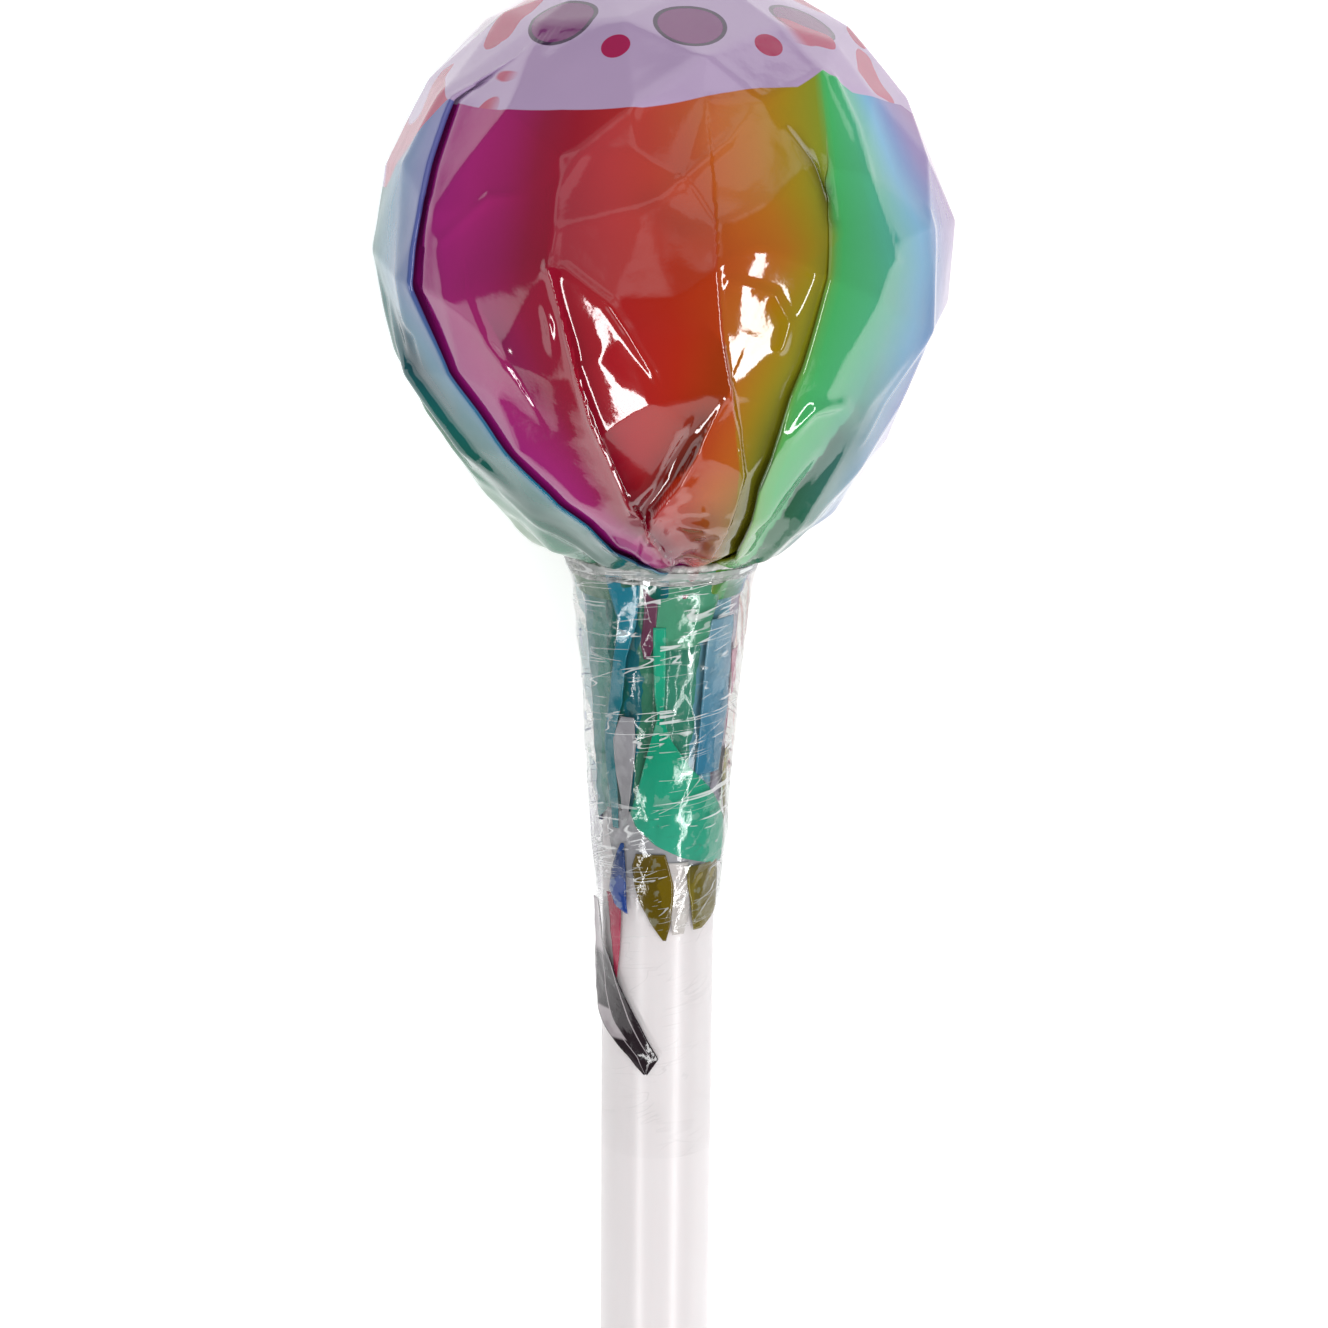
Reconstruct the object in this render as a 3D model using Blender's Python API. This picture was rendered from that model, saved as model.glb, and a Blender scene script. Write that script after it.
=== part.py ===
"""A giant ball lollipop in its printed film, lying on its side with the shown face up.

Three solids: the film-wrapped ball with its gathered neck and loose film corners, the plastic
stick, and the clear tape wound round the neck. Each is worked out in the lollipop's own frame,
with the middle of the ball at the origin, the stick along -Y and the shown side up. An empty
then tips that frame, so that the ball and the tip of the stick both touch the floor.
"""

import math
import random

import bmesh
import bpy
import numpy as np
from mathutils import Matrix, Vector

MM = 0.001

# Driving dimensions. "Polar" angles are measured from the top of the ball, "around" angles
# about the stick from the shown side towards +X, both in degrees. "Along" is a distance
# from the middle of the ball towards the tip of the stick.
STICK_RADIUS = 6.0 * MM
STICK_TIP = 155.0 * MM
STICK_ROUNDING = 1.2 * MM
STICK_IN_BALL = 21.0 * MM
FIT_GAP = 0.3 * MM
FLOOR_TO_MIDDLE = 28.2 * MM

# How far the film stands from the middle of the ball, by polar angle.
BALL_POLAR = (0, 47, 58, 88, 106, 122, 133, 155, 180)
BALL_REACH_MM = (28.6, 29.5, 29.2, 30.1, 29.6, 29.6, 30.9, 33.6, 33.6)

# The film is pulled into flat facets. Their corners sit on rings, and every second column
# of corners on one ring is skipped on the next.
TOP_RINGS = ((22, 5, 20), (46, 8, 44), (60, 10, 10))
CORNER_RINGS = (76, 88, 104, 120, 133, 145, 157)
FRONT_COLUMNS = (-78, -53, -37, -20, -4, 11, 31, 46, 63, 81)
BACK_COLUMNS = 10
CORNER_WANDER = 2.5
CORNER_LIFT = 0.25 * MM
CREASE_SHARPNESS = 110
SEED = 7

# Long folds where one width of film lies over the next: the edge as (polar, around) places,
# and which side is on top, +1 for the larger around angle.
LEFT_FOLD = (
    (45, -42), (58, -55), (77, -52), (95, -54), (111, -50), (125, -42), (139, -30), (152, -9), (163, 4),
)
RIGHT_FOLD = ((48, 42), (72, 34), (91, 31), (113, 27), (133, 25), (150, 28), (163, 36))
FRONT_FOLDS = ((LEFT_FOLD, -1), (RIGHT_FOLD, 1))
BACK_FOLDS = ((118, 1), (163, -1), (208, 1), (252, -1))
BACK_FOLD_POLARS = range(66, 164, 12)
BACK_FOLD_SWAY = 7
BACK_FOLD_WAVES = 3
FOLD_LIP = 0.75 * MM
FOLD_STEP = 0.45 * MM
FOLD_FADE = 6.0 * MM
FOLD_GROWS_OVER = 32

# Gathers that bunch the film up towards the neck.
GATHERS = 13
GATHER_FROM = 128
GATHER_DEPTH = 0.45 * MM
GATHER_SWAY = 2
GATHER_SHARE_OF_ROOM = 0.3
SHOULDER_POLAR = 162.0

# The clear tape: its outer radius at places along the stick.
TAPE_ALONG_MM = (32.6, 35, 38, 43, 49, 55, 62, 66, 71, 91, 94, 98)
TAPE_RADIUS_MM = (10.2, 9.6, 9.2, 8.7, 8.2, 7.8, 7.5, 7.3, 7.15, 7.1, 6.65, 6.6)
TAPE_FROM = TAPE_ALONG_MM[0] * MM
TAPE_WALL = 0.25 * MM
TAPE_RIM_SLANT = 0.5 * MM

# The neck's film ends unevenly, with the corners of the sheet reaching further down:
# (around, half width in degrees, how far along the corner reaches).
FILM_END = 66.5 * MM
CORNERS_BEGIN = FILM_END - 4.0 * MM
FILM_CORNERS = ((-48, 46, 91.0), (9, 34, 75.5), (58, 30, 73.5), (138, 40, 79.0), (214, 44, 84.0))
FILM_WALL = 0.25 * MM

# How finely each surface is divided. The neck's rows are closer together near the ball.
BALL_COLUMNS = 80
POLAR_ROWS = 32
NECK_ROWS = 9
NECK_ROW_CROWDING = 1.2
CORNER_ROWS = 5
TAPE_COLUMNS = 48
STICK_COLUMNS = 48
TIP_STEPS = 3


def degrees_apart(a, b):
    """The signed turn from b to a, within half a turn either way."""
    return (a - b + 180) % 360 - 180


def smooth_step(value, start, end):
    share = min(1, max(0, (value - start) / (end - start)))
    return share * share * (3 - 2 * share)


def heading(polar, around):
    """The direction from the middle of the ball, as a unit vector."""
    p, a = math.radians(polar), math.radians(around)
    return Vector((math.sin(p) * math.sin(a), math.cos(p), math.sin(p) * math.cos(a)))


def resting_tilt():
    """How far the stick points down when the ball and the tip both touch the floor."""
    to_contact = STICK_TIP - STICK_ROUNDING
    span = math.hypot(to_contact, STICK_RADIUS)
    return math.asin(FLOOR_TO_MIDDLE / span) - math.atan(STICK_RADIUS / to_contact)


def ball_reach(polar):
    return float(np.interp(polar, BALL_POLAR, BALL_REACH_MM)) * MM


def facet_corners():
    """The corners of the facets, each moved a little by a seeded draw."""
    draw = random.Random(SEED)
    places = []
    for polar, count, first in TOP_RINGS:
        places += [(polar, first + 360 * n / count) for n in range(count)]
    back_gap = (360 - FRONT_COLUMNS[-1] + FRONT_COLUMNS[0]) / (BACK_COLUMNS + 1)
    back = [FRONT_COLUMNS[-1] + back_gap * (n + 1) for n in range(BACK_COLUMNS)]
    columns = list(FRONT_COLUMNS) + back
    for ring, polar in enumerate(CORNER_RINGS):
        places += [(polar, around) for n, around in enumerate(columns) if (ring + n) % 2 == 0]
    corners = []
    for polar, around in places:
        polar += draw.uniform(-CORNER_WANDER, CORNER_WANDER)
        around += draw.uniform(-CORNER_WANDER, CORNER_WANDER)
        reach = ball_reach(polar) + draw.uniform(-CORNER_LIFT, CORNER_LIFT)
        corners.append(heading(polar, around) * reach)
    corners.append(heading(180, 0) * ball_reach(180))
    return corners


def facet_planes():
    """Each facet's outward normal divided by its distance from the middle of the ball."""
    hull = bmesh.new()
    for corner in facet_corners():
        hull.verts.new(corner)
    made = bmesh.ops.convex_hull(hull, input=hull.verts)
    loose = [v for v in made["geom_interior"] if isinstance(v, bmesh.types.BMVert)]
    bmesh.ops.delete(hull, geom=loose, context="VERTS")
    planes = []
    for face in hull.faces:
        face.normal_update()
        planes.append(np.array(face.normal / face.normal.dot(face.verts[0].co)))
    hull.free()
    return np.array(planes)


def faceted_reach(direction, planes):
    """The distance to the facets, with the creases between them slightly rounded."""
    nearness = planes @ np.array(direction)
    nearest = nearness.max()
    crowd = np.clip(nearness / nearest, 0, None) ** CREASE_SHARPNESS
    return 1 / (nearest * crowd.sum() ** (1 / CREASE_SHARPNESS))


def back_fold(around, side):
    """A fold on the hidden side, swaying a little on its way down to the neck."""
    sways = [BACK_FOLD_SWAY * math.sin(math.radians(BACK_FOLD_WAVES * p) + around) for p in BACK_FOLD_POLARS]
    return tuple((p, around + sway) for p, sway in zip(BACK_FOLD_POLARS, sways)), side


def all_folds():
    return FRONT_FOLDS + tuple(back_fold(around, side) for around, side in BACK_FOLDS)


def fold_lift(polar, around, folds):
    """How far the film stands up beside the edges of the long folds."""
    ring = ball_reach(polar) * math.sin(math.radians(polar))
    lift = 0
    for path, side in folds:
        polars, arounds = zip(*path)
        edge = float(np.interp(polar, polars, arounds))
        beside = math.radians(degrees_apart(around, edge)) * side * ring
        grown = smooth_step(polar, polars[0], polars[0] + FOLD_GROWS_OVER)
        covered = smooth_step(beside, -FOLD_STEP, FOLD_STEP)
        lift += FOLD_LIP * grown * covered * math.exp(-max(0, beside) / FOLD_FADE)
    return lift


def ribs(around):
    """The gathers' height round the stick, from -1 in a groove to 1 on a rib."""
    return math.cos(math.radians(GATHERS * around) + GATHER_SWAY * math.sin(math.radians(2 * around)))


def gather_lift(polar, around):
    """Shallow rounded ribs that deepen towards the neck."""
    return GATHER_DEPTH * smooth_step(polar, GATHER_FROM, SHOULDER_POLAR) * ribs(around)


def floor_reach(direction):
    """The distance to the floor's plane, or no limit where the direction runs beside or away from it."""
    down = Vector((0, -math.sin(resting_tilt()), -math.cos(resting_tilt())))
    facing = direction.dot(down)
    return FLOOR_TO_MIDDLE / facing if facing > 0 else math.inf


def film_point(polar, around, planes, folds):
    direction = heading(polar, around)
    reach = faceted_reach(direction, planes)
    reach += fold_lift(polar, around, folds) + gather_lift(polar, around)
    place = direction * min(reach, floor_reach(direction))
    place.y = max(place.y, 2 * FIT_GAP - TAPE_FROM)
    return place


def round_stick(radius, around, along):
    """A place at this radius from the stick's middle line."""
    a = math.radians(around)
    return Vector((radius * math.sin(a), -along, radius * math.cos(a)))


def tape_radius(along):
    return float(np.interp(along / MM, TAPE_ALONG_MM, TAPE_RADIUS_MM)) * MM


def neck_radius(along, around):
    """The gathered film under the tape, with its ribs flattened by the tape."""
    under_tape = tape_radius(along) - TAPE_WALL - FIT_GAP
    room = max(0, under_tape - STICK_RADIUS - FIT_GAP - FILM_WALL)
    return under_tape - min(GATHER_DEPTH, GATHER_SHARE_OF_ROOM * room) * (1 - ribs(around)) / 2


def film_end(around):
    """How far along the stick the film reaches at this angle."""
    reach = FILM_END
    for middle, half_width, tip in FILM_CORNERS:
        share = max(0, 1 - abs(degrees_apart(around, middle)) / half_width)
        reach = max(reach, FILM_END + (tip * MM - FILM_END) * share)
    return reach


def ring_angles(count):
    return [360 * n / count for n in range(count)]


def loft(bm, rings):
    """Joins rings of points, each with the next, by quads."""
    rows = [[bm.verts.new(point) for point in ring] for ring in rings]
    for upper, lower in zip(rows, rows[1:]):
        for n in range(len(upper)):
            after = (n + 1) % len(upper)
            bm.faces.new((upper[n], lower[n], lower[after], upper[after]))
    return rows


def close_with_point(bm, ring, point):
    middle = bm.verts.new(point)
    for n in range(len(ring)):
        bm.faces.new((ring[n], ring[(n + 1) % len(ring)], middle))


def finished_object(name, bm, material, smooth_below=40):
    """Turns the bmesh into a named object, triangulated, facing out and shaded smooth."""
    bmesh.ops.recalc_face_normals(bm, faces=bm.faces)
    bmesh.ops.triangulate(bm, faces=bm.faces, quad_method="SHORT_EDGE")
    mesh = bpy.data.meshes.new(name)
    bm.to_mesh(mesh)
    bm.free()
    mesh.shade_smooth()
    mesh.set_sharp_from_angle(angle=math.radians(smooth_below))
    mesh.materials.append(material)
    made = bpy.data.objects.new(name, mesh)
    bpy.context.scene.collection.objects.link(made)
    return made


def principled(name, colour, roughness, alpha=1.0):
    material = bpy.data.materials.new(name)
    material.use_nodes = True
    shader = material.node_tree.nodes["Principled BSDF"]
    shader.inputs["Base Color"].default_value = (*colour, 1)
    shader.inputs["Roughness"].default_value = roughness
    shader.inputs["Metallic"].default_value = 0.0
    shader.inputs["Alpha"].default_value = alpha
    return material


def make_wrapper():
    """The wrapped ball and neck, with a blind bore up the middle that the stick fills."""
    planes, folds = facet_planes(), all_folds()
    angles = ring_angles(BALL_COLUMNS)
    polars = [SHOULDER_POLAR * (n + 1) / POLAR_ROWS for n in range(POLAR_ROWS)]
    rings = [[film_point(polar, around, planes, folds) for around in angles] for polar in polars]

    neck_from = TAPE_FROM - FIT_GAP
    for n in range(NECK_ROWS):
        along = neck_from + (CORNERS_BEGIN - neck_from) * (n / (NECK_ROWS - 1)) ** NECK_ROW_CROWDING
        rings.append([round_stick(neck_radius(along, a), a, along) for a in angles])
    for n in range(1, CORNER_ROWS + 1):
        alongs = [CORNERS_BEGIN + (film_end(a) - CORNERS_BEGIN) * n / CORNER_ROWS for a in angles]
        rings.append([round_stick(neck_radius(s, a), a, s) for s, a in zip(alongs, angles)])

    bore = STICK_RADIUS + FIT_GAP
    rings.append([round_stick(bore, a, film_end(a)) for a in angles])
    for along in (CORNERS_BEGIN, (FILM_END + STICK_IN_BALL) / 2, STICK_IN_BALL):
        rings.append([round_stick(bore, a, along) for a in angles])

    bm = bmesh.new()
    rows = loft(bm, rings)
    top = heading(0, 0) * faceted_reach(heading(0, 0), planes)
    close_with_point(bm, rows[0], top)
    close_with_point(bm, rows[-1], (0, -STICK_IN_BALL, 0))
    return finished_object("wrapper", bm, principled("printed_film", (0.42, 0.08, 0.10), 0.12))


def make_stick():
    """A straight white rod with a softened tip."""
    inner_end = STICK_IN_BALL + FIT_GAP
    middle = Matrix.Translation((0, -(STICK_TIP + inner_end) / 2, 0))
    bm = bmesh.new()
    bmesh.ops.create_cone(
        bm,
        cap_ends=True,
        segments=STICK_COLUMNS,
        radius1=STICK_RADIUS,
        radius2=STICK_RADIUS,
        depth=STICK_TIP - inner_end,
        matrix=middle @ Matrix.Rotation(math.pi / 2, 4, "X"),
    )
    tip_edges = [e for e in bm.edges if all(v.co.y < -STICK_TIP + FIT_GAP for v in e.verts)]
    bmesh.ops.bevel(bm, geom=tip_edges, offset=STICK_ROUNDING, segments=TIP_STEPS, profile=0.5, affect="EDGES")
    return finished_object("stick", bm, principled("white_plastic", (0.83, 0.80, 0.81), 0.22), 30)


def make_tape():
    """The clear tape as one closed sleeve, its upper rim a little lower on one side."""
    angles = ring_angles(TAPE_COLUMNS)
    alongs = [along * MM for along in TAPE_ALONG_MM]

    def place(along, around, inwards):
        slant = TAPE_RIM_SLANT * math.sin(math.radians(around)) * (along == TAPE_FROM)
        return round_stick(tape_radius(along) - inwards, around, along + max(0, slant))

    outside = [[place(along, a, 0) for a in angles] for along in alongs]
    inside = [[place(along, a, TAPE_WALL) for a in angles] for along in reversed(alongs)]
    bm = bmesh.new()
    rows = loft(bm, outside + inside)
    for n in range(TAPE_COLUMNS):
        after = (n + 1) % TAPE_COLUMNS
        bm.faces.new((rows[-1][n], rows[0][n], rows[0][after], rows[-1][after]))
    return finished_object("neck_tape", bm, principled("clear_tape", (0.85, 0.87, 0.87), 0.1, 0.35))


def lay_down(pieces):
    """Tips the lollipop onto the floor and centres it over the origin."""
    holder = bpy.data.objects.new("lolly_frame", None)
    bpy.context.scene.collection.objects.link(holder)
    for piece in pieces:
        piece.parent = holder
    tilt = Matrix.Rotation(resting_tilt(), 4, "X")
    corners = [tilt @ v.co for piece in pieces for v in piece.data.vertices]
    low = Vector([min(c[k] for c in corners) for k in range(3)])
    high = Vector([max(c[k] for c in corners) for k in range(3)])
    holder.rotation_euler = (resting_tilt(), 0, 0)
    holder.location = (-(low.x + high.x) / 2, -(low.y + high.y) / 2, -low.z)


def main():
    for old in list(bpy.data.objects):
        bpy.data.objects.remove(old, do_unlink=True)
    lay_down([make_wrapper(), make_stick(), make_tape()])


main()
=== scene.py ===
# %% [markdown]
# # A giant ball lollipop in printed film
# The real thing is a hard sweet of about 60 mm in one sheet of glossy printed film, which is pulled
# tight, folded in long pleats, gathered round the stick and held by clear tape. It could be sculpted,
# or simulated as cloth. Here every sheet starts as a flat grid and is wrapped by named sizes, because
# the pleats and creases then land where they are wanted.

# %% Load the frame
import math

import bmesh
import bpy
import numpy as np
from mathutils import Matrix, Vector, noise


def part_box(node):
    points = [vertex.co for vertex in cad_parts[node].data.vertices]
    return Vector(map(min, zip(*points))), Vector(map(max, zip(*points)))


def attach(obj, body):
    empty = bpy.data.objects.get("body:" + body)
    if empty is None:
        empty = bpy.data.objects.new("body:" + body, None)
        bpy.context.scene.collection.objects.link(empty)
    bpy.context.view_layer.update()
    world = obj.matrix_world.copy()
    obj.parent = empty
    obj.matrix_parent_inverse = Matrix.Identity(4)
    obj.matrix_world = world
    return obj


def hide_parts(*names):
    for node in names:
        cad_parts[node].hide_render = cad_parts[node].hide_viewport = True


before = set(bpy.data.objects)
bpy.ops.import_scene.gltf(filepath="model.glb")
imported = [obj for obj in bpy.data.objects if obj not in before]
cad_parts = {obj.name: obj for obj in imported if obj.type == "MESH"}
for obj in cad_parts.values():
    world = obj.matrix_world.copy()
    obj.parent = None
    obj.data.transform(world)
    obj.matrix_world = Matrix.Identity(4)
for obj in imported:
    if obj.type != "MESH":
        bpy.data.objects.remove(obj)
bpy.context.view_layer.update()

MM = 0.001

# %% [markdown]
# ## Where the lollipop lies
# It lies on its side, on the ball and the tip of the stick. All pieces are worked out in its own frame,
# with the middle of the ball at the origin, the stick along -Y and the shown side up. One matrix then
# lays every finished mesh down on the floor.

# %% Sizes and the matrix that lays it down
STICK_RADIUS = 6.0 * MM
STICK_TIP = 155.0 * MM
STICK_ROUNDING = 1.2 * MM
STICK_IN_BALL = 21.3 * MM
FLOOR_TO_MIDDLE = 28.2 * MM

to_contact = STICK_TIP - STICK_ROUNDING
contact_reach = math.hypot(to_contact, STICK_RADIUS)
TILT = math.asin(FLOOR_TO_MIDDLE / contact_reach) - math.atan(STICK_RADIUS / to_contact)
stick_low, stick_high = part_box("stick")
tip_reach = STICK_TIP * math.cos(TILT) + (STICK_RADIUS - STICK_ROUNDING) * math.sin(TILT)
MIDDLE = Vector(((stick_low[0] + stick_high[0]) / 2, stick_low[1] + tip_reach, FLOOR_TO_MIDDLE))
LAY_DOWN = Matrix.Translation(MIDDLE) @ Matrix.Rotation(TILT, 4, "X")
DOWN = np.array((0, -math.sin(TILT), -math.cos(TILT)))
print("tilt", round(math.degrees(TILT), 2), "degrees, middle (mm)", [round(v / MM, 2) for v in MIDDLE])

# %% [markdown]
# ## The camera
# A long lens looks straight down on the shown side, so that the ball looks round and the stick hardly
# tapers. It is rolled half a degree about the ball, because the stick leans a little in the picture.

# %% Set up the camera
CAMERA_AT = Vector((0, 40, 348)) * MM
CAMERA_DIP = math.radians(13.64)
CAMERA_LENS = 91.4
STICK_LEAN = math.radians(0.53)

camera = bpy.data.objects.new("camera", bpy.data.cameras.new("camera"))
bpy.context.scene.collection.objects.link(camera)
bpy.context.scene.camera = camera
camera.data.sensor_width = 36
camera.data.sensor_height = 36
camera.data.lens = CAMERA_LENS
camera.data.clip_start = 0.01
look = Vector((0, -math.sin(CAMERA_DIP), -math.cos(CAMERA_DIP)))
upward = Vector((0, math.cos(CAMERA_DIP), -math.sin(CAMERA_DIP)))
sideways = look.cross(upward)
aim = Matrix((sideways, upward, -look)).transposed().to_4x4()
lean = Matrix.Rotation(STICK_LEAN, 4, CAMERA_AT.normalized())
camera.matrix_world = LAY_DOWN @ lean @ Matrix.Translation(CAMERA_AT) @ aim
print("camera at (mm)", [round(v / MM) for v in camera.matrix_world.translation])

# %% [markdown]
# ## Helpers for sheets
# Each piece of film starts as the grid primitive, flat and one unit square. A function then says where
# each place of the sheet goes, from how far across and down it lies, and a UV map can be filled from
# the same numbers. Modelling by pushing points would be slower, and its folds less even.

# %% Make, wrap and finish a sheet
def start_clean():
    """Nothing selected, so that an operator acts only on what is picked next."""
    bpy.ops.object.select_all(action="DESELECT")


def pick(piece):
    start_clean()
    piece.select_set(True)
    bpy.context.view_layer.objects.active = piece


def flat_sheet(name, columns, rows):
    """A flat grid and the place of each of its points: across 0 to 1, down 0 to 1."""
    start_clean()
    bpy.ops.mesh.primitive_grid_add(x_subdivisions=columns, y_subdivisions=rows, size=1)
    sheet = bpy.context.object
    sheet.name = sheet.data.name = name
    places = np.empty(len(sheet.data.vertices) * 3)
    sheet.data.vertices.foreach_get("co", places)
    places = places.reshape(-1, 3)
    return sheet, places[:, 0] + 0.5, 0.5 - places[:, 1]


def put_points(sheet, points):
    sheet.data.vertices.foreach_set("co", np.asarray(points, dtype=np.float32).ravel())
    sheet.data.update()


def put_map(sheet, name, across, down):
    """Keeps two numbers for each point in a UV map. The grid's own map becomes the first one."""
    mapped = sheet.data.uv_layers.get("UVMap") or sheet.data.uv_layers.new()
    mapped.name = name
    loops = np.empty(len(sheet.data.loops), dtype=np.int64)
    sheet.data.loops.foreach_get("vertex_index", loops)
    mapped.data.foreach_set("uv", np.stack((across[loops], down[loops]), axis=1).astype(np.float32).ravel())


def merge_doubles(piece, distance=0.001 * MM):
    pick(piece)
    bpy.ops.object.mode_set(mode="EDIT")
    bpy.ops.mesh.select_all(action="SELECT")
    bpy.ops.mesh.remove_doubles(threshold=distance)
    bpy.ops.object.mode_set(mode="OBJECT")


def finish_piece(piece, material, node, smooth_below=180):
    """Lays the piece down, smooths it, and gives it its material and its place in the model."""
    piece.data.transform(LAY_DOWN)
    pick(piece)
    bpy.ops.object.shade_smooth_by_angle(angle=math.radians(smooth_below))
    piece.data.materials.clear()
    piece.data.materials.append(material)
    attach(piece, "root")
    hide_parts(node)
    triangles = sum(len(face.vertices) - 2 for face in piece.data.polygons)
    size = [round(v / MM, 1) for v in piece.dimensions]
    print(piece.name, triangles, "triangles, mm", size)


def wavering(points, scale, seed=0):
    """Smooth noise from -1 to 1 at each point, with waves of about this size."""
    shift = Vector((seed * 7.3, seed * 3.1, seed * 5.7))
    return np.array([noise.noise(Vector(p) / scale + shift) for p in points])


def smooth_step(value, start, end):
    share = np.clip((value - start) / (end - start), 0, 1)
    return share * share * (3 - 2 * share)


def hump(distance, width):
    """1 in the middle, and fading to nothing over about this width."""
    return np.exp(-((distance / width) ** 2))


def on_stick(radius, around, along):
    """Points in metres at a radius (mm) round the stick and a distance (mm) from the ball's middle."""
    spin = np.radians(around)
    return np.stack((radius * np.sin(spin), -along * np.ones_like(spin), radius * np.cos(spin)), axis=-1) * MM


print("a quarter of the way, a soft step is at", smooth_step(0.25, 0, 1))

# %% [markdown]
# ## Materials in Python sums
# Node trees are quick to draw and slow to read. A small class wraps a number socket, so that a sum such
# as 1 - mask * 0.5 adds its own Math nodes. Everything else comes from one method that adds a node.

# %% A socket that can be added, multiplied and compared
def srgb(*colour):
    """A colour as a picture gives it, 0 to 255, turned into the light that it stands for."""
    return tuple(v / 255 / 12.92 if v <= 10 else ((v / 255 + 0.055) / 1.055) ** 2.4 for v in colour)


def adds(operation, reflected=False):
    """A method of Value that adds one Math node."""
    def method(value, other=None):
        first, second = (other, value) if reflected else (value, other)
        return value.nodes.add("ShaderNodeMath", {"operation": operation}, {0: first, 1: second})
    return method


class Value:
    """A number from a node, with Python's operators."""

    __add__ = __radd__ = adds("ADD")
    __mul__ = __rmul__ = adds("MULTIPLY")
    __sub__ = adds("SUBTRACT")
    __rsub__ = adds("SUBTRACT", reflected=True)
    __truediv__ = adds("DIVIDE")
    power = adds("POWER")
    size = adds("ABSOLUTE")
    fraction = adds("FRACT")
    at_most = adds("MINIMUM")
    at_least = adds("MAXIMUM")
    less_than = adds("LESS_THAN")
    turn_from = adds("ARCTAN2")

    def __init__(self, nodes, socket):
        self.nodes, self.socket = nodes, socket

    def other(self, name):
        """Another output of the same node."""
        return Value(self.nodes, self.socket.node.outputs[name])

    def between(self, start, end):
        """0 at start and 1 at end, with a soft change between them."""
        ranges = {"Value": self, "From Min": start, "From Max": end}
        return self.nodes.add("ShaderNodeMapRange", {"interpolation_type": "SMOOTHSTEP"}, ranges)


class Nodes:
    """A node tree, and one method that adds any node to it."""

    def __init__(self, tree):
        self.tree = tree

    def add(self, kind, settings=None, inputs=None, out=0):
        """Adds a node: its settings first, then the values or links of its sockets."""
        node = self.tree.nodes.new(kind)
        for name, value in (settings or {}).items():
            if name == "stops":
                self.fill_ramp(node.color_ramp, value)
            elif name == "hold":
                node.color_ramp.interpolation = "CONSTANT" if value else "LINEAR"
            else:
                setattr(node, name, value)
        for name, value in (inputs or {}).items():
            self.join(node.inputs[name], value)
        return Value(self, node.outputs[out])

    def fill_ramp(self, ramp, stops):
        while len(ramp.elements) < len(stops):
            ramp.elements.new(1)
        for element, (position, colour) in zip(ramp.elements, stops):
            element.position = position
            element.color = (*colour, 1)

    def join(self, socket, value):
        if isinstance(value, Value):
            self.tree.links.new(value.socket, socket)
        elif isinstance(value, tuple) and len(value) == 3 and len(socket.default_value) == 4:
            socket.default_value = (*value, 1)
        elif value is not None:
            socket.default_value = value

    def noise(self, grain, detail=2, where=None):
        """Noise from 0 to 1 with grains of this size."""
        where = where or self.add("ShaderNodeTexCoord", out="Object")
        sockets = {"Vector": where, "Scale": 1 / grain, "Detail": detail}
        return self.add("ShaderNodeTexNoise", None, sockets, out="Fac")


class Finish(Nodes):
    """A material, its Principled shader and the nodes that feed it."""

    def __init__(self, name, **constants):
        self.material = bpy.data.materials.new(name)
        self.material.use_nodes = True
        super().__init__(self.material.node_tree)
        self.shader = self.tree.nodes["Principled BSDF"]
        for socket, value in constants.items():
            self.shader.inputs[socket.replace("_", " ")].default_value = value

    def feed(self, socket, value):
        self.join(self.shader.inputs[socket], value)

    def mix(self, share, first, second, blend="MIX"):
        """The first colour where share is 0, the second, or both multiplied, where it is 1."""
        settings = {"data_type": "RGBA", "blend_type": blend}
        return self.add("ShaderNodeMix", settings, {0: share, 6: first, 7: second}, out=2)

    def ramp(self, hues, start, reach, place, hold=False):
        """The hue at a place from 0 to 1, where the hues are given by their angles."""
        stops = [((angle - start) / reach, srgb(*colour)) for angle, colour in hues]
        settings = {"stops": stops, "hold": hold}
        return self.add("ShaderNodeValToRGB", settings, {"Fac": place}, out="Color")

    def map(self, name):
        """Both numbers of the piece's own map."""
        both = self.add("ShaderNodeUVMap", {"uv_map": name})
        across = self.add("ShaderNodeSeparateXYZ", None, {0: both}, out="X")
        return across, across.other("Y")

    def bump(self, height, depth, strength=1.0):
        sockets = {"Height": height, "Distance": depth, "Strength": strength}
        self.feed("Normal", self.add("ShaderNodeBump", None, sockets, out="Normal"))


print("mid grey, 128, gives back", round(srgb(128)[0], 3), "of the light")

# %% [markdown]
# ## The film over the ball: its form
# Film doesn't stretch, so over a ball it breaks into flat facets, and the spare width hides in long
# pleats from the cap to the neck. A sphere with a bumpy material would lack the outline and the
# pleats' shadows. So the facets are the hull of corner points, placed one by one on the shown side and by
# rule on the back, and every pleat is a real Z-fold of the sheet.

# %% The facets, from their corners
BALL_POLAR = (0, 47, 58, 88, 106, 122, 133, 155, 180)
BALL_REACH_MM = (28.6, 29.5, 29.2, 30.1, 29.6, 29.6, 30.9, 33.6, 33.6)
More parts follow.
